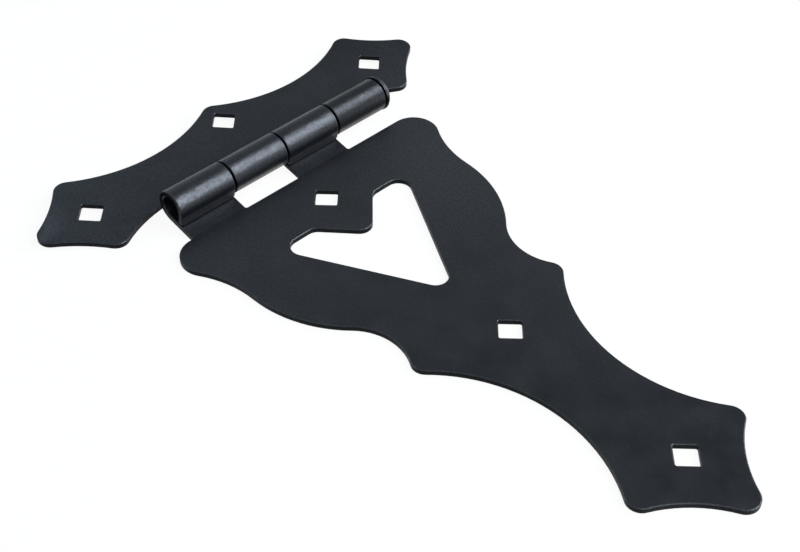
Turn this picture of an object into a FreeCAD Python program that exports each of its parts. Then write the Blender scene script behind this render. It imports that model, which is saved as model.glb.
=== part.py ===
import FreeCAD, Part
import math
import os

from FreeCAD import Vector

# A tee hinge of pressed and rolled sheet steel: a long ornamental strap, a jamb leaf across it,
# and a headed pin through their interleaved knuckles. Millimetres throughout.
# Origin: middle of the strap's first bolt hole, on the strap's back face.
# +X runs along the strap to its tip, +Y along the pin to its head, +Z out of the front faces.
# Each leaf is drawn with the pin axis as its datum and is moved to its place at the end.

# Sheet, pin and barrel
SHEET = 2.2
PIN_DIAMETER = 10.0
PIN_CLEARANCE = 0.1
BARREL_LENGTH = 110.6
BARREL_START = -55.0
KNUCKLE_COUNT = 4
KNUCKLE_GAP = 0.85
KNUCKLE_RISE = 0.2
SEAM_GAP = 0.5
BEND_RADIUS = 6.0
NOTCH_RADIUS = 1.0
TAIL_CORNER = 1.5
EDGE_BREAK = 0.25

# Pin head and the stretch of empty bore behind the pin's plain end
HEAD_DIAMETER = 15.2
HEAD_FLANK = 1.0
HEAD_DOME = 4.0
HEAD_GAP = 0.6
PIN_RECESS = 6.0
PIN_CHAMFER = 0.8

# Square bolt holes, set with a corner pointing along the strap
BOLT_SQUARE = 9.0
BOLT_CORNER = 0.7

# Strap, measured from the pin axis (x) and from its own centreline (y)
STRAP_SETBACK = 13.2
STRAP_BOLTS = (30.5, 132.4, 213.7)
EAR_RADIUS = 10.6
EAR_Y = 56.4
SHOULDER = (53.4, 5.2)
SHOULDER_RADIUS = 52.9
MID_LOBE = (121.7, 33.7)
END_LOBE_Y = 24.8
TIP_X = 237.3
TIP_RADIUS = 6.0
LOBE_RADIUS = 5.5
STRAP_WAISTS = (44.8, 22.1, 64.8, 52.5)

# Three-cornered window in the strap, with a tongue left standing on its pin side
WINDOW_X = 40.7
WINDOW_TIP_X = 104.2
WINDOW_HALF = 34.8
TONGUE_HALF = 16.2
TONGUE_X = 58.1
WINDOW_CORNER = 5.4

# Jamb leaf, measured from the pin axis (x) and from its own centreline (y)
JAMB_SETBACK = 10.8
JAMB_END_BOLT = (25.2, 76.0)
JAMB_MID_BOLT_X = 35.6
JAMB_PEAK_X = 41.8
JAMB_INNER_LOBE_X = 8.3
JAMB_END_LOBE_Y = 94.7
JAMB_WAISTS = (69.4, 61.3, 71.7, 59.3)

# How far the jamb leaf's outer edge is lifted from lying level with the strap
JAMB_LIFT_DEG = 3.3

# Points nearer than this are the same point, and faces that meet under a smaller cosine meet at a corner
SAME_POINT = 0.01
CORNER_COSINE = 0.5

# Worked-out sizes
bore_radius = PIN_DIAMETER / 2 + PIN_CLEARANCE
knuckle_radius = bore_radius + SHEET
axis_height = SHEET + KNUCKLE_RISE + knuckle_radius
knuckle_width = (BARREL_LENGTH - (KNUCKLE_COUNT - 1) * KNUCKLE_GAP) / KNUCKLE_COUNT
pin_x = -STRAP_BOLTS[0]


def polar(centre, radius, angle):
    """Point at an angle on a circle in plan."""
    return (centre[0] + radius * math.cos(angle), centre[1] + radius * math.sin(angle))


def toward(start, end, distance):
    """Point at a distance from start, on the way to end."""
    span = math.dist(start, end)
    return (start[0] + (end[0] - start[0]) * distance / span,
            start[1] + (end[1] - start[1]) * distance / span)


def touching_centre(a, a_radius, b, b_radius):
    """Centre that lies at a_radius from a and b_radius from b, to the left of the way from a to b."""
    span = math.dist(a, b)
    along = (span ** 2 + a_radius ** 2 - b_radius ** 2) / (2 * span)
    off = math.sqrt(a_radius ** 2 - along ** 2)
    ux, uy = (b[0] - a[0]) / span, (b[1] - a[1]) / span
    return (a[0] + ux * along - uy * off, a[1] + uy * along + ux * off)


def arc_edge(centre, start, end, plane):
    """The shorter arc about centre from start to end."""
    radius = math.dist(centre, start)
    middle = ((start[0] + end[0]) / 2, (start[1] + end[1]) / 2)
    crown = toward(centre, middle, radius)
    return Part.Arc(plane(start), plane(crown), plane(end)).toShape()


def in_plan(point):
    return Vector(point[0], point[1], 0)


def in_section(point):
    return Vector(point[0], 0, point[1])


def rounded_polygon(corners, radius):
    """Face in plan with each corner of a polygon rounded."""
    edges = []
    joints = []
    count = len(corners)
    for i, corner in enumerate(corners):
        before, after = corners[i - 1], corners[(i + 1) % count]
        a = math.atan2(before[1] - corner[1], before[0] - corner[0])
        b = math.atan2(after[1] - corner[1], after[0] - corner[0])
        half = abs(math.remainder(b - a, 2 * math.pi)) / 2
        middle = a + math.remainder(b - a, 2 * math.pi) / 2
        centre = polar(corner, radius / math.sin(half), middle)
        reach = radius / math.tan(half)
        joints.append((toward(corner, before, reach), centre, toward(corner, after, reach)))
    for i, (start, centre, end) in enumerate(joints):
        edges.append(arc_edge(centre, start, end, in_plan))
        following = joints[(i + 1) % count][0]
        edges.append(Part.makeLine(in_plan(end), in_plan(following)))
    return Part.Face(Part.Wire(edges))


def scalloped_edge(lobes, waists, start, end):
    """Edges from start to end over round lobes (x, y, radius), with a hollow waist between each two.

    The lobes stand in clockwise order, so that every waist lies to the left of the way.
    """
    edges = []
    here = start
    for i, waist in enumerate(waists):
        (ax, ay, a_radius), (bx, by, b_radius) = lobes[i], lobes[i + 1]
        hollow = touching_centre((ax, ay), a_radius + waist, (bx, by), b_radius + waist)
        leave = toward((ax, ay), hollow, a_radius)
        meet = toward((bx, by), hollow, b_radius)
        edges.append(arc_edge((ax, ay), here, leave, in_plan))
        edges.append(arc_edge(hollow, leave, meet, in_plan))
        here = meet
    last_x, last_y, _ = lobes[-1]
    edges.append(arc_edge((last_x, last_y), here, end, in_plan))
    return edges


def mirrored_face(half_edges, first, last):
    """Face whose outline is a half above the centreline, its mirror image, and a closing line."""
    edges = list(half_edges)
    for edge in half_edges:
        edges.append(edge.mirror(Vector(0, 0, 0), Vector(0, 1, 0)))
    if abs(first[1]) > 0:
        edges.append(Part.makeLine(Vector(first[0], -first[1], 0), Vector(first[0], first[1], 0)))
    if abs(last[1]) > 0:
        edges.append(Part.makeLine(Vector(last[0], -last[1], 0), Vector(last[0], last[1], 0)))
    return Part.Face(Part.Wire(Part.__sortEdges__(edges)))


def strap_outline():
    ear_x = STRAP_SETBACK + EAR_RADIUS
    lobes = [
        (ear_x, EAR_Y, EAR_RADIUS),
        (SHOULDER[0], SHOULDER[1], SHOULDER_RADIUS),
        (MID_LOBE[0], MID_LOBE[1], LOBE_RADIUS),
        (STRAP_BOLTS[2], END_LOBE_Y, LOBE_RADIUS),
        (TIP_X, 0.0, TIP_RADIUS),
    ]
    start = (STRAP_SETBACK, EAR_Y)
    end = (TIP_X + TIP_RADIUS, 0.0)
    return mirrored_face(scalloped_edge(lobes, STRAP_WAISTS, start, end), start, end)


def jamb_outline():
    bolt_x, bolt_y = JAMB_END_BOLT
    inner = (JAMB_INNER_LOBE_X, bolt_y)
    inner_waist = JAMB_WAISTS[3]
    # The last waist runs out tangent to the straight inner edge behind the knuckles.
    waist_x = JAMB_SETBACK - inner_waist
    reach = LOBE_RADIUS + inner_waist
    waist_y = bolt_y - math.sqrt(reach ** 2 - (inner[0] - waist_x) ** 2)
    waist = (waist_x, waist_y)
    lobes = [
        (inner[0], inner[1], LOBE_RADIUS),
        (bolt_x, JAMB_END_LOBE_Y, LOBE_RADIUS),
        (JAMB_PEAK_X, bolt_y, LOBE_RADIUS),
        (JAMB_PEAK_X, 0.0, LOBE_RADIUS),
    ]
    waists = JAMB_WAISTS[2], JAMB_WAISTS[1], JAMB_WAISTS[0]
    first = (JAMB_SETBACK, waist_y)
    meet = toward(inner, waist, LOBE_RADIUS)
    end = (JAMB_PEAK_X + LOBE_RADIUS, 0.0)
    edges = [arc_edge(waist, first, meet, in_plan)]
    edges += scalloped_edge(lobes, waists, meet, end)
    return mirrored_face(edges, first, end)


def knuckle_start(index):
    """Where a knuckle begins along the pin, counted from the plain end."""
    return BARREL_START + index * (knuckle_width + KNUCKLE_GAP)


def rolled_section(setback):
    """Side section of a tab: bend off the plate's edge, slope, roll round the pin and a straight end.

    Given with the middle of that end. The end stands square on the tab, just clear of it.
    """
    floor = -axis_height
    outer_bend = BEND_RADIUS + SHEET
    bend = (setback, floor + outer_bend)
    # The tab's underside touches both the bend and the knuckle's underside.
    span = math.hypot(bend[0], bend[1])
    slope = math.asin((outer_bend - knuckle_radius) / span) - math.atan2(bend[1], bend[0])
    down = math.atan2(-math.cos(slope), -math.sin(slope))
    under_bend = polar(bend, outer_bend, down)
    over_bend = polar(bend, BEND_RADIUS, down)
    under_roll = polar((0, 0), knuckle_radius, down)
    over_roll = polar((0, 0), bore_radius, down)
    outer_tail = polar((0, 0), knuckle_radius, -slope)
    inner_tail = polar((0, 0), bore_radius, -slope)
    outer_end = polar(outer_tail, bore_radius - SEAM_GAP, down)
    inner_end = polar(inner_tail, bore_radius - SEAM_GAP, down)
    # The root reaches past the broken edge of the plate.
    root = setback + EDGE_BREAK
    outline = [
        ((root, floor + SHEET), (root, floor), None),
        ((root, floor), (setback, floor), None),
        ((setback, floor), under_bend, bend),
        (under_bend, under_roll, None),
        (under_roll, (-knuckle_radius, 0), (0, 0)),
        ((-knuckle_radius, 0), (0, knuckle_radius), (0, 0)),
        ((0, knuckle_radius), outer_tail, (0, 0)),
        (outer_tail, outer_end, None),
        (outer_end, inner_end, None),
        (inner_end, inner_tail, None),
        (inner_tail, (0, bore_radius), (0, 0)),
        ((0, bore_radius), (-bore_radius, 0), (0, 0)),
        ((-bore_radius, 0), over_roll, (0, 0)),
        (over_roll, over_bend, None),
        (over_bend, (setback, floor + SHEET), bend),
        ((setback, floor + SHEET), (root, floor + SHEET), None),
    ]
    edges = []
    for start, end, centre in outline:
        if centre is None:
            edges.append(Part.makeLine(in_section(start), in_section(end)))
        else:
            edges.append(arc_edge(centre, start, end, in_section))
    return Part.Face(Part.Wire(edges)), toward(outer_end, inner_end, SHEET / 2)


def rolled_tab(setback, index):
    """One knuckle with its tab, flared where it leaves the plate beside a neighbour's notch."""
    section, sheet_end = rolled_section(setback)
    start = knuckle_start(index)
    end = start + knuckle_width
    section.translate(Vector(0, start - NOTCH_RADIUS, 0))
    rolled = section.extrude(Vector(0, knuckle_width + 2 * NOTCH_RADIUS, 0))
    far = -knuckle_radius - SHEET
    tall = 2 * (axis_height + SHEET)
    flares = []
    if index > 0:
        flares.append((start, -NOTCH_RADIUS))
    if index < KNUCKLE_COUNT - 1:
        flares.append((end, NOTCH_RADIUS))
    length = setback + EDGE_BREAK - far
    plan = Part.makeBox(length, knuckle_width, tall, Vector(far, start, -tall / 2))
    for y, out in flares:
        low = min(y, y + out)
        beside = setback - NOTCH_RADIUS
        block = Part.makeBox(NOTCH_RADIUS, NOTCH_RADIUS, tall, Vector(beside, low, -tall / 2))
        corner = Vector(beside, y + out, -tall / 2)
        plan = plan.fuse(block.cut(Part.makeCylinder(NOTCH_RADIUS, tall, corner)))
    tab = rolled.common(plan)
    # The two corners of the sheet's end are rounded off.
    tips = [Vector(sheet_end[0], y, sheet_end[1]) for y in (start, end)]
    corners = []
    for edge in tab.Edges:
        if any(edge.CenterOfMass.isEqual(tip, SAME_POINT) for tip in tips):
            corners.append(edge)
    tab = tab.makeFillet(TAIL_CORNER, corners)
    # The cut edges along both sides are broken, all but where the tab grows out of the plate.
    reach = setback - SAME_POINT
    sides = [edge for edge in tab.Edges if is_cut_edge(tab, edge) and edge.BoundBox.XMin < reach]
    return tab.makeChamfer(EDGE_BREAK, sides)


def is_cut_edge(body, edge):
    """True where a wall meets a skin of the sheet at a sharp outer corner."""
    faces = body.ancestorsOfType(edge, Part.Face)
    if len(faces) != 2:
        return False
    middle = edge.valueAt((edge.FirstParameter + edge.LastParameter) / 2)
    normals = [face.normalAt(*face.Surface.parameter(middle)) for face in faces]
    return abs(normals[0].dot(normals[1])) < CORNER_COSINE


def leaf(outline, setback, knuckles, bolts, window=None):
    """One leaf with the pin axis at the origin and its plate towards +X."""
    thickness = Vector(0, 0, SHEET)
    plate = outline.extrude(thickness)
    # Across each tab's width the plate stops at the line where the tab bends up.
    for index in knuckles:
        beside = Part.makeBox(setback, knuckle_width, SHEET, Vector(0, knuckle_start(index), 0))
        plate = plate.cut(beside)
    for x, y in bolts:
        half = BOLT_SQUARE / math.sqrt(2)
        corners = [(x + half, y), (x, y + half), (x - half, y), (x, y - half)]
        plate = plate.cut(rounded_polygon(corners, BOLT_CORNER).extrude(thickness))
    if window:
        plate = plate.cut(window.extrude(thickness))
    # Pressing rounds the front rims; the back rims stay sharp.
    rims = [edge for edge in plate.Edges if edge.BoundBox.ZMin > SHEET / 2]
    plate = plate.makeChamfer(EDGE_BREAK, rims)
    plate.translate(Vector(0, 0, -axis_height))
    for index in knuckles:
        plate = plate.fuse(rolled_tab(setback, index))
    return plate.removeSplitter().Solids[0]


def strap_window():
    corners = [
        (WINDOW_X, TONGUE_HALF),
        (WINDOW_X, WINDOW_HALF),
        (WINDOW_TIP_X, 0.0),
        (WINDOW_X, -WINDOW_HALF),
        (WINDOW_X, -TONGUE_HALF),
        (TONGUE_X, 0.0),
    ]
    return rounded_polygon(corners, WINDOW_CORNER)


def strap_leaf():
    bolts = [(x, 0.0) for x in STRAP_BOLTS]
    knuckles = range(0, KNUCKLE_COUNT, 2)
    body = leaf(strap_outline(), STRAP_SETBACK, knuckles, bolts, strap_window())
    body.translate(Vector(pin_x, 0, axis_height))
    return body


def jamb_leaf():
    x, y = JAMB_END_BOLT
    bolts = [(x, y), (x, -y), (JAMB_MID_BOLT_X, 0.0)]
    knuckles = range(1, KNUCKLE_COUNT, 2)
    body = leaf(jamb_outline(), JAMB_SETBACK, knuckles, bolts)
    body = body.mirror(Vector(0, 0, 0), Vector(1, 0, 0))
    body.rotate(Vector(0, 0, 0), Vector(0, 1, 0), JAMB_LIFT_DEG)
    body.translate(Vector(pin_x, 0, axis_height))
    return body


def hinge_pin():
    """Turned pin: chamfered plain end inside the first knuckle, round head past the last."""
    radius = PIN_DIAMETER / 2
    head_radius = HEAD_DIAMETER / 2
    plain_end = BARREL_START + PIN_RECESS
    seat = BARREL_START + BARREL_LENGTH + HEAD_GAP
    rim = seat + HEAD_FLANK
    crown = rim + HEAD_DOME
    sphere = (head_radius ** 2 + HEAD_DOME ** 2) / (2 * HEAD_DOME)
    sweep = math.asin(head_radius / sphere) / 2
    dome_middle = Vector(sphere * math.sin(sweep), crown - sphere + sphere * math.cos(sweep), 0)
    corners = [
        (0, crown),
        (0, plain_end),
        (radius - PIN_CHAMFER, plain_end),
        (radius, plain_end + PIN_CHAMFER),
        (radius, seat),
        (head_radius, seat),
        (head_radius, rim),
    ]
    edges = [Part.makeLine(in_plan(a), in_plan(b)) for a, b in zip(corners, corners[1:])]
    edges.append(Part.Arc(in_plan(corners[-1]), dome_middle, in_plan(corners[0])).toShape())
    profile = Part.Face(Part.Wire(edges))
    body = profile.revolve(Vector(0, 0, 0), Vector(0, 1, 0), 360)
    body.translate(Vector(pin_x, 0, axis_height))
    return body


def main():
    os.makedirs("parts", exist_ok=True)
    nodes = {
        "strap_leaf": strap_leaf(),
        "jamb_leaf": jamb_leaf(),
        "hinge_pin": hinge_pin(),
    }
    for name, body in nodes.items():
        body.exportStep("parts/" + name + ".step")
        box = body.BoundBox
        print(name, "valid", body.isValid(), "solids", len(body.Solids), "faces", len(body.Faces),
              "volume", round(body.Volume, 1),
              "x", round(box.XMin, 2), round(box.XMax, 2),
              "y", round(box.YMin, 2), round(box.YMax, 2),
              "z", round(box.ZMin, 2), round(box.ZMax, 2))


main()
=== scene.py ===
import bpy
from mathutils import Matrix, Vector


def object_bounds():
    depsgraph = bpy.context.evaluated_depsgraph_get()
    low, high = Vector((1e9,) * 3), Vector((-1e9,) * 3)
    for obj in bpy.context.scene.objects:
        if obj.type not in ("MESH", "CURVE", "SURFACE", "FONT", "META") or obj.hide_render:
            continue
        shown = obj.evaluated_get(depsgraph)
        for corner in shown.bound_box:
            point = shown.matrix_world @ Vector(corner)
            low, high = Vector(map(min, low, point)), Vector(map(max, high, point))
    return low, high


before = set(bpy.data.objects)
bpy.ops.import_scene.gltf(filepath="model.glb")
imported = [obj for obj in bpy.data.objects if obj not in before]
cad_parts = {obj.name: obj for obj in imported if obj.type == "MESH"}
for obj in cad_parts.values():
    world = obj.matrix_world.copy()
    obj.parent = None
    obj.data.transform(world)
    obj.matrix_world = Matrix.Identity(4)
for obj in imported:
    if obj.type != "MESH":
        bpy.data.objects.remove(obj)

# A black tee hinge lying on its back on a white table, seen from above, past the strap's tip on its -Y side.
# Everything is in metres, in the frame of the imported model: +X along the strap, +Y along the pin, +Z up.
cad_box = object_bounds()
MM = 0.001

# Camera, as the photograph was taken
CAMERA_PLACE = Vector((0.32258, -0.27667, 0.36609))
CAMERA_RIGHT = Vector((0.694009, 0.719825, 0.014270))
CAMERA_UP = Vector((-0.506080, 0.473641, 0.720797))
FOCAL_LENGTH_MM = 61.62
SENSOR_WIDTH_MM = 36.0

# Table: matt white paper, lit from behind as a product photographer's table is, a hair below the leaves' backs
TABLE_WIDTH = 8.0
TABLE_COLOUR = "fbfbfb"
TABLE_GLOW = 0.92
TABLE_BELOW = 0.02 * MM

# Lamps: a long soft window above to the right, a low one behind to the right that picks out the rims, a faint one
# above the camera, and two small cards behind, which brighten the strap's +Y shoulder and its waist.
# Each is a rectangle that faces its aim: the way leads from there to it, and "along" is how its first side lies.
BARREL = Vector((-0.0305, 0.0, 0.010))
LAMPS = (
    {"name": "key_window", "aim": BARREL,
     "way": Vector((0.59, 0.39, 0.705)), "along": Vector((-0.855, 0.264, 0.446)),
     "distance": 3.0, "size": (2.9, 1.0), "watts": 80.0, "colour": (0.87, 0.91, 1.0)},
    {"name": "rim_window", "aim": BARREL,
     "way": Vector((0.37, 0.83, 0.40)), "along": Vector((1.0, 0.0, 0.0)),
     "distance": 3.0, "size": (1.2, 0.9), "watts": 54.0, "colour": (0.90, 0.93, 1.0)},
    {"name": "fill_window", "aim": BARREL,
     "way": Vector((0.62, -0.20, 0.75)), "along": Vector((0.0, 1.0, 0.0)),
     "distance": 3.0, "size": (1.2, 1.4), "watts": 15.5, "colour": (0.92, 0.95, 1.0)},
    {"name": "card_1", "aim": Vector((0.025, 0.055, 0.002)),
     "way": Vector((-0.52, 0.57, 0.63)), "along": Vector((0.74, 0.67, 0.0)),
     "distance": 0.25, "size": (0.09, 0.076), "watts": 0.0085, "colour": (0.92, 0.97, 1.0)},
    {"name": "card_2", "aim": Vector((0.118, 0.030, 0.002)),
     "way": Vector((-0.41, 0.57, 0.72)), "along": Vector((0.90, -0.43, 0.0)),
     "distance": 0.20, "size": (0.09, 0.03), "watts": 0.0035, "colour": (0.92, 0.97, 1.0)},
)

# The dim room's brightness by direction: one level, and so much more for each step along X, Y and up
ROOM_LEVEL = 0.32
ROOM_RISE = (-0.74, -0.83, -0.10)
ROOM_DIMMEST = 0.045
ROOM_BRIGHTEST = 0.54
ROOM_COLOUR_DIM = (0.93, 0.94, 1.0)
ROOM_COLOUR_BRIGHT = (0.74, 0.87, 1.0)

# Barrel: the plates end below the first height, the roll is full above the second, and four knuckles share its length
PLATES_END_MM = 3.5
ROLL_STARTS_MM = 6.5
KNUCKLES_FROM_MM = -55.0
KNUCKLE_LENGTH_MM = 27.01
KNUCKLE_PITCH_MM = 27.8625

# Powder coat: the deep shade up to one value of the film's pattern, the body's from another, and the shine's tint
COAT_DEEP = "0b0c0f"
COAT_BODY = "141518"
COAT_TINT = "f0f8ff"
DEEP_UP_TO = 0.35
BODY_FROM = 0.65
# From crest to crest of the peel, of the film's thick and thin patches, and of its broad clouds
GRAIN_MM = 1.1
FLOW_MM = 14.0
CLOUD_MM = 60.0
# The colour's pattern is the clouds, with this share of the patches
FLOW_IN_COLOUR = 0.4
# Nearly all of a noise lies between these two
NOISE_LOW = 0.3
NOISE_HIGH = 0.7
# The sheen: how far the roughness varies, how much it adds on the barrel, and the shine's share in pits and on crests
SHEEN_SPREAD = 0.04
ROUGHER_ON_BARREL = 0.05
SHINE_IN_PITS = 1.25
SHINE_ON_CRESTS = 0.75
# The shine of cut sides, and how far up or down a surface faces where it is still a side and where it is a face
SHINE_ON_SIDES = 0.07
SIDE_UP_TO = 0.05
FACE_FROM = 0.45
# The film's radius round pressed edges and round the knuckles' cut ends
EDGE_RADIUS_MM = 0.7
KNUCKLE_EDGE_RADIUS_MM = 0.2
# Each knuckle's -Y end is drawn in over the first of these lengths, and its +Y end has a narrow rim of one slope
KNUCKLE_END_MM = 0.8
KNUCKLE_RIM_MM = 0.65

# The coat on each piece. Leans and shares run from the -Y knuckle to the +Y one: how far its front was rolled out of
# true, as a slope, and its share of the shine. Ends: where the first end is, its slope, and the rim's slope. The pin's
# head begins four pitches past that place, and has no rim.
LEAF_COAT = {
    "roughness": 0.35, "shine": 0.95, "grain_high_mm": 0.09, "plate_share": 0.40,
    "leans": (-0.04, 0.09, 0.02, 0.19), "shares": (1.0, 1.0, 1.0, 0.65),
    "ends": (KNUCKLES_FROM_MM, 0.32, 0.25)}
PIN_COAT = {
    "roughness": 0.43, "shine": 0.85, "grain_high_mm": 0.42, "plate_share": 1.0,
    "leans": (0.0,), "shares": (1.0,), "ends": (-55.25, 0.40, 0.0)}


def linear(code):
    """Linear colour with alpha 1 from an sRGB hex code."""
    parts = [int(code[i:i + 2], 16) / 255 for i in (0, 2, 4)]
    return tuple(c / 12.92 if c <= 0.04045 else ((c + 0.055) / 1.055) ** 2.4 for c in parts) + (1.0,)


def node(tree, kind, settings=None, inputs=None):
    """Adds a node with its settings, and gives each input a value or the output that feeds it."""
    made = tree.nodes.new(kind)
    for name, value in (settings or {}).items():
        setattr(made, name, value)
    for name, value in (inputs or {}).items():
        if isinstance(value, bpy.types.NodeSocket):
            tree.links.new(value, made.inputs[name])
        else:
            made.inputs[name].default_value = value
    return made


def new_material(name):
    """Material with an empty node tree."""
    material = bpy.data.materials.new(name)
    material.use_nodes = True
    material.node_tree.nodes.clear()
    return material, material.node_tree


def coat_colour(tree, cloud, flow):
    """The film is a shade thicker and darker in places, over centimetres."""
    tone = node(tree, "ShaderNodeMix", {"data_type": "FLOAT"}, {"Factor": FLOW_IN_COLOUR, "A": cloud, "B": flow})
    colour = node(tree, "ShaderNodeValToRGB", inputs={"Fac": tone.outputs[0]})
    deep, body = colour.color_ramp.elements
    deep.position = DEEP_UP_TO
    deep.color = linear(COAT_DEEP)
    body.position = BODY_FROM
    body.color = linear(COAT_BODY)
    return colour.outputs["Color"]


def coat_roughness(tree, flow, grain, rolled, roughness):
    """The sheen varies a little from grain to grain and from patch to patch, and is duller on the barrel."""
    patch = node(tree, "ShaderNodeMapRange", inputs={
        "Value": flow, "From Min": NOISE_LOW, "From Max": NOISE_HIGH,
        "To Min": roughness - SHEEN_SPREAD, "To Max": roughness + SHEEN_SPREAD})
    sheen = node(tree, "ShaderNodeMapRange", inputs={
        "Value": grain, "From Min": NOISE_LOW, "From Max": NOISE_HIGH,
        "To Min": -SHEEN_SPREAD, "To Max": SHEEN_SPREAD})
    both = node(tree, "ShaderNodeMath", {"operation": "ADD"}, {
        0: patch.outputs["Result"], 1: sheen.outputs["Result"]})
    duller = node(tree, "ShaderNodeMath", {"operation": "MULTIPLY_ADD"}, {
        0: rolled, 1: ROUGHER_ON_BARREL, 2: both.outputs["Value"]})
    return duller.outputs["Value"]


def grain_height(tree, grain, rolled, high_mm, plate_share):
    """Rolling the sheet round the pin roughens it, so the grain stands higher there than on the flat plates."""
    high = node(tree, "ShaderNodeMapRange", inputs={
        "Value": rolled, "To Min": high_mm * plate_share, "To Max": high_mm})
    level = node(tree, "ShaderNodeMath", {"operation": "SUBTRACT"}, {0: grain, 1: 0.5})
    height = node(tree, "ShaderNodeMath", {"operation": "MULTIPLY"}, {
        0: level.outputs["Value"], 1: high.outputs["Result"]})
    return height.outputs["Value"]


def knuckle_by_knuckle(tree, y_mm, leans, shares):
    """Two values that step from each knuckle to the next: its lean, and its share of the shine."""
    knuckle = node(tree, "ShaderNodeMapRange", inputs={
        "Value": y_mm, "From Min": KNUCKLES_FROM_MM, "From Max": KNUCKLES_FROM_MM + len(leans) * KNUCKLE_PITCH_MM})
    steps = node(tree, "ShaderNodeValToRGB", inputs={"Fac": knuckle.outputs["Result"]})
    ramp = steps.color_ramp
    ramp.interpolation = "CONSTANT"
    for i, (lean, share) in enumerate(zip(leans, shares)):
        stop = ramp.elements[0] if i == 0 else ramp.elements.new(i / len(leans))
        # A lean may be below 0 and a colour may not, so the ramp holds it with 0.5 added
        stop.color = (0.5 + lean, share, 0.0, 1.0)
    ramp.elements.remove(ramp.elements[-1])
    pair = node(tree, "ShaderNodeSeparateColor", inputs={"Color": steps.outputs["Color"]})
    slope = node(tree, "ShaderNodeMath", {"operation": "SUBTRACT"}, {0: pair.outputs["Red"], 1: 0.5})
    return slope.outputs["Value"], pair.outputs["Green"]


def lean_height(tree, lean, z_mm):
    """No knuckle is rolled quite true to the next, so the highlight steps a little from one to the next."""
    above = node(tree, "ShaderNodeMath", {"operation": "SUBTRACT"}, {0: z_mm, 1: ROLL_STARTS_MM})
    kept = node(tree, "ShaderNodeMath", {"operation": "MAXIMUM"}, {0: above.outputs["Value"], 1: 0.0})
    height = node(tree, "ShaderNodeMath", {"operation": "MULTIPLY"}, {0: lean, 1: kept.outputs["Value"]})
    return height.outputs["Value"]


def drawn_in_depth(tree, y_mm, rolled, first_mm, start_slope, rim_slope):
    """The cut ends of the knuckles: drawn in a little at the -Y end, with a narrow drawn rim at the +Y end."""
    # Counted from one knuckle before the first, so that what is left over is never below 0
    from_first = node(tree, "ShaderNodeMath", {"operation": "SUBTRACT"}, {0: y_mm, 1: first_mm - KNUCKLE_PITCH_MM})
    along = node(tree, "ShaderNodeMath", {"operation": "MODULO"}, {
        0: from_first.outputs["Value"], 1: KNUCKLE_PITCH_MM})
    to_start = node(tree, "ShaderNodeMath", {"operation": "SUBTRACT"}, {0: KNUCKLE_END_MM, 1: along.outputs["Value"]})
    near_start = node(tree, "ShaderNodeMath", {"operation": "MAXIMUM"}, {0: to_start.outputs["Value"], 1: 0.0})
    curve = node(tree, "ShaderNodeMath", {"operation": "POWER"}, {0: near_start.outputs["Value"], 1: 2.0})
    drop = node(tree, "ShaderNodeMath", {"operation": "MULTIPLY"}, {
        0: curve.outputs["Value"], 1: start_slope / (2 * KNUCKLE_END_MM)})
    to_rim = node(tree, "ShaderNodeMath", {"operation": "SUBTRACT"}, {
        0: along.outputs["Value"], 1: KNUCKLE_LENGTH_MM - KNUCKLE_RIM_MM})
    on_rim = node(tree, "ShaderNodeMath", {"operation": "MAXIMUM"}, {0: to_rim.outputs["Value"], 1: 0.0})
    fall = node(tree, "ShaderNodeMath", {"operation": "MULTIPLY"}, {0: on_rim.outputs["Value"], 1: rim_slope})
    both = node(tree, "ShaderNodeMath", {"operation": "ADD"}, {0: drop.outputs["Value"], 1: fall.outputs["Value"]})
    depth = node(tree, "ShaderNodeMath", {"operation": "MULTIPLY"}, {0: both.outputs["Value"], 1: rolled})
    return depth.outputs["Value"]


def coat_normal(tree, grain_high, lean_high, end_deep, rolled):
    """The film draws round every pressed edge, and its grain, the knuckles' leans and their ends tilt it."""
    radius = node(tree, "ShaderNodeMapRange", inputs={
        "Value": rolled, "To Min": EDGE_RADIUS_MM * MM, "To Max": KNUCKLE_EDGE_RADIUS_MM * MM})
    edge = node(tree, "ShaderNodeBevel", {"samples": 6}, {"Radius": radius.outputs["Result"]})
    raised = node(tree, "ShaderNodeMath", {"operation": "ADD"}, {0: grain_high, 1: lean_high})
    height = node(tree, "ShaderNodeMath", {"operation": "SUBTRACT"}, {0: raised.outputs["Value"], 1: end_deep})
    peel = node(tree, "ShaderNodeBump", inputs={
        "Strength": 1.0, "Distance": MM, "Height": height.outputs["Value"], "Normal": edge.outputs["Normal"]})
    return peel.outputs["Normal"]


def coat_shine(tree, normal, grain, rolled, knuckle_share, shine):
    """Sprayed from the front and the back, the film is thin and dull on the cut sides, where a surface faces neither
    up nor down.
    """
    facing = node(tree, "ShaderNodeSeparateXYZ", inputs={"Vector": normal})
    front = node(tree, "ShaderNodeMath", {"operation": "ABSOLUTE"}, {0: facing.outputs["Z"]})
    film = node(tree, "ShaderNodeMapRange", {"interpolation_type": "SMOOTHSTEP"}, {
        "Value": front.outputs["Value"], "From Min": SIDE_UP_TO, "From Max": FACE_FROM,
        "To Min": SHINE_ON_SIDES, "To Max": shine})
    # Grains differ in how much they shine, and so do the knuckles
    speck = node(tree, "ShaderNodeMapRange", inputs={
        "Value": grain, "From Min": NOISE_LOW, "From Max": NOISE_HIGH,
        "To Min": SHINE_IN_PITS, "To Max": SHINE_ON_CRESTS})
    specked = node(tree, "ShaderNodeMath", {"operation": "MULTIPLY"}, {
        0: film.outputs["Result"], 1: speck.outputs["Result"]})
    share = node(tree, "ShaderNodeMix", {"data_type": "FLOAT"}, {"Factor": rolled, "A": 1.0, "B": knuckle_share})
    shared = node(tree, "ShaderNodeMath", {"operation": "MULTIPLY"}, {
        0: specked.outputs["Value"], 1: share.outputs[0]})
    return shared.outputs["Value"]


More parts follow.
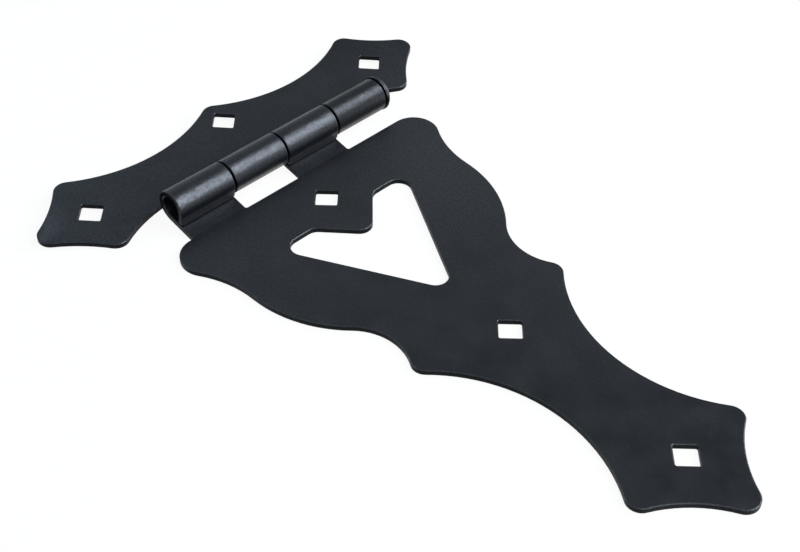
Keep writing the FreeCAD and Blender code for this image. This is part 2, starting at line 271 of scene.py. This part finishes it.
def satin_black_powder_coat(name, roughness, shine, grain_high_mm, plate_share, leans, shares, ends):
    """Satin black powder coat: a dark polymer film with a fine orange peel, which breaks up its highlights."""
    material, tree = new_material(name)
    place = node(tree, "ShaderNodeTexCoord")
    # The real peel is about half a millimetre from crest to crest; it is drawn twice as coarse, so that it shows
    grain = node(tree, "ShaderNodeTexNoise", inputs={
        "Vector": place.outputs["Object"], "Scale": 1 / (GRAIN_MM * MM), "Detail": 2.0, "Roughness": 0.6})
    flow = node(tree, "ShaderNodeTexNoise", inputs={
        "Vector": place.outputs["Object"], "Scale": 1 / (FLOW_MM * MM), "Detail": 4.0})
    cloud = node(tree, "ShaderNodeTexNoise", inputs={
        "Vector": place.outputs["Object"], "Scale": 1 / (CLOUD_MM * MM), "Detail": 2.0})
    spot = node(tree, "ShaderNodeVectorMath", {"operation": "SCALE"}, {
        "Vector": place.outputs["Object"], "Scale": 1 / MM})
    spot_mm = node(tree, "ShaderNodeSeparateXYZ", inputs={"Vector": spot.outputs["Vector"]})
    # 0 on the flat plates, 1 on the barrel
    rolled = node(tree, "ShaderNodeMapRange", {"interpolation_type": "SMOOTHSTEP"}, {
        "Value": spot_mm.outputs["Z"], "From Min": PLATES_END_MM, "From Max": ROLL_STARTS_MM})
    lean, knuckle_share = knuckle_by_knuckle(tree, spot_mm.outputs["Y"], leans, shares)
    normal = coat_normal(
        tree,
        grain_height(tree, grain.outputs["Fac"], rolled.outputs["Result"], grain_high_mm, plate_share),
        lean_height(tree, lean, spot_mm.outputs["Z"]),
        drawn_in_depth(tree, spot_mm.outputs["Y"], rolled.outputs["Result"], *ends),
        rolled.outputs["Result"])
    surface = node(tree, "ShaderNodeBsdfPrincipled", inputs={
        "Base Color": coat_colour(tree, cloud.outputs["Fac"], flow.outputs["Fac"]),
        "Roughness": coat_roughness(
            tree, flow.outputs["Fac"], grain.outputs["Fac"], rolled.outputs["Result"], roughness),
        "IOR": 1.5,
        "Specular IOR Level": coat_shine(
            tree, place.outputs["Normal"], grain.outputs["Fac"], rolled.outputs["Result"], knuckle_share, shine),
        "Specular Tint": linear(COAT_TINT),
        "Normal": normal})
    node(tree, "ShaderNodeOutputMaterial", inputs={"Surface": surface.outputs["BSDF"]})
    return material


def white_table():
    """Matt white paper, part of whose white is its own, so that the object's shadow on it is light."""
    material, tree = new_material("matt_white_paper")
    paper = node(tree, "ShaderNodeBsdfDiffuse", inputs={"Color": linear(TABLE_COLOUR)})
    glow = node(tree, "ShaderNodeEmission", inputs={"Color": (1.0, 1.0, 1.0, 1.0), "Strength": 1.0})
    # The camera and reflections see that white, and the object isn't lit by it
    ray = node(tree, "ShaderNodeLightPath")
    seen = ray.outputs["Is Camera Ray"]
    for kind in ("Is Glossy Ray", "Is Transmission Ray"):
        either = node(tree, "ShaderNodeMath", {"operation": "MAXIMUM"}, {0: seen, 1: ray.outputs[kind]})
        seen = either.outputs["Value"]
    share = node(tree, "ShaderNodeMath", {"operation": "MULTIPLY"}, {0: seen, 1: TABLE_GLOW})
    white = node(tree, "ShaderNodeMixShader", inputs={
        0: share.outputs["Value"], 1: paper.outputs["BSDF"], 2: glow.outputs["Emission"]})
    node(tree, "ShaderNodeOutputMaterial", inputs={"Surface": white.outputs["Shader"]})
    return material


def lay_table(material):
    """One wide square under the hinge."""
    half = TABLE_WIDTH / 2
    height = cad_box[0][2] - TABLE_BELOW
    mesh = bpy.data.meshes.new("table")
    corners = [(-half, -half, height), (half, -half, height), (half, half, height), (-half, half, height)]
    mesh.from_pydata(corners, [], [(0, 1, 2, 3)])
    mesh.materials.append(material)
    table = bpy.data.objects.new("table", mesh)
    bpy.context.scene.collection.objects.link(table)


def coat(node_name, material):
    """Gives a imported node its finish."""
    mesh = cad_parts[node_name].data
    mesh.materials.clear()
    mesh.materials.append(material)


def set_camera():
    """Camera in the photograph's place, turned and framed as it was."""
    data = bpy.data.cameras.new("camera")
    data.sensor_width = SENSOR_WIDTH_MM
    data.sensor_fit = "HORIZONTAL"
    data.lens = FOCAL_LENGTH_MM
    data.clip_start = 0.01
    data.clip_end = 20.0
    camera = bpy.data.objects.new("camera", data)
    back = CAMERA_RIGHT.cross(CAMERA_UP)
    turn = Matrix((CAMERA_RIGHT, CAMERA_UP, back)).transposed().to_4x4()
    camera.matrix_world = Matrix.Translation(CAMERA_PLACE) @ turn
    bpy.context.scene.collection.objects.link(camera)
    bpy.context.scene.camera = camera


def soft_light(name, aim, way, along, distance, size, watts, colour):
    """Rectangle of light that faces its aim."""
    data = bpy.data.lights.new(name, "AREA")
    data.shape = "RECTANGLE"
    data.size, data.size_y = size
    data.energy = watts
    data.color = colour
    lamp = bpy.data.objects.new(name, data)
    lamp.visible_camera = False
    back = way.normalized()
    side = back.cross(along).normalized()
    turn = Matrix((side.cross(back), side, back)).transposed().to_4x4()
    lamp.matrix_world = Matrix.Translation(aim + back * distance) @ turn
    bpy.context.scene.collection.objects.link(lamp)


def dim_room():
    """Room that is brighter on one side, and bluer where it is brighter."""
    world = bpy.data.worlds.new("room")
    world.use_nodes = True
    tree = world.node_tree
    tree.nodes.clear()
    way = node(tree, "ShaderNodeTexCoord")
    rise = node(tree, "ShaderNodeVectorMath", {"operation": "DOT_PRODUCT"}, {
        0: way.outputs["Generated"], 1: ROOM_RISE})
    level = node(tree, "ShaderNodeMath", {"operation": "ADD"}, {0: rise.outputs["Value"], 1: ROOM_LEVEL})
    kept = node(tree, "ShaderNodeClamp", inputs={
        "Value": level.outputs["Value"], "Min": ROOM_DIMMEST, "Max": ROOM_BRIGHTEST})
    share = node(tree, "ShaderNodeMapRange", inputs={
        "Value": kept.outputs["Result"], "From Min": ROOM_DIMMEST, "From Max": ROOM_BRIGHTEST})
    colour = node(tree, "ShaderNodeValToRGB", inputs={"Fac": share.outputs["Result"]})
    colour.color_ramp.elements[0].color = ROOM_COLOUR_DIM + (1.0,)
    colour.color_ramp.elements[1].color = ROOM_COLOUR_BRIGHT + (1.0,)
    room = node(tree, "ShaderNodeBackground", inputs={
        "Color": colour.outputs["Color"], "Strength": kept.outputs["Result"]})
    node(tree, "ShaderNodeOutputWorld", inputs={"Surface": room.outputs["Background"]})
    bpy.context.scene.world = world


leaf_coat = satin_black_powder_coat("satin_black_powder_coat_on_steel", **LEAF_COAT)
coat("strap_leaf", leaf_coat)
coat("jamb_leaf", leaf_coat)
coat("hinge_pin", satin_black_powder_coat("satin_black_powder_coat_on_turned_pin", **PIN_COAT))
lay_table(white_table())
dim_room()
for lamp in LAMPS:
    soft_light(**lamp)
set_camera()
bpy.context.scene.view_settings.view_transform = "Standard"
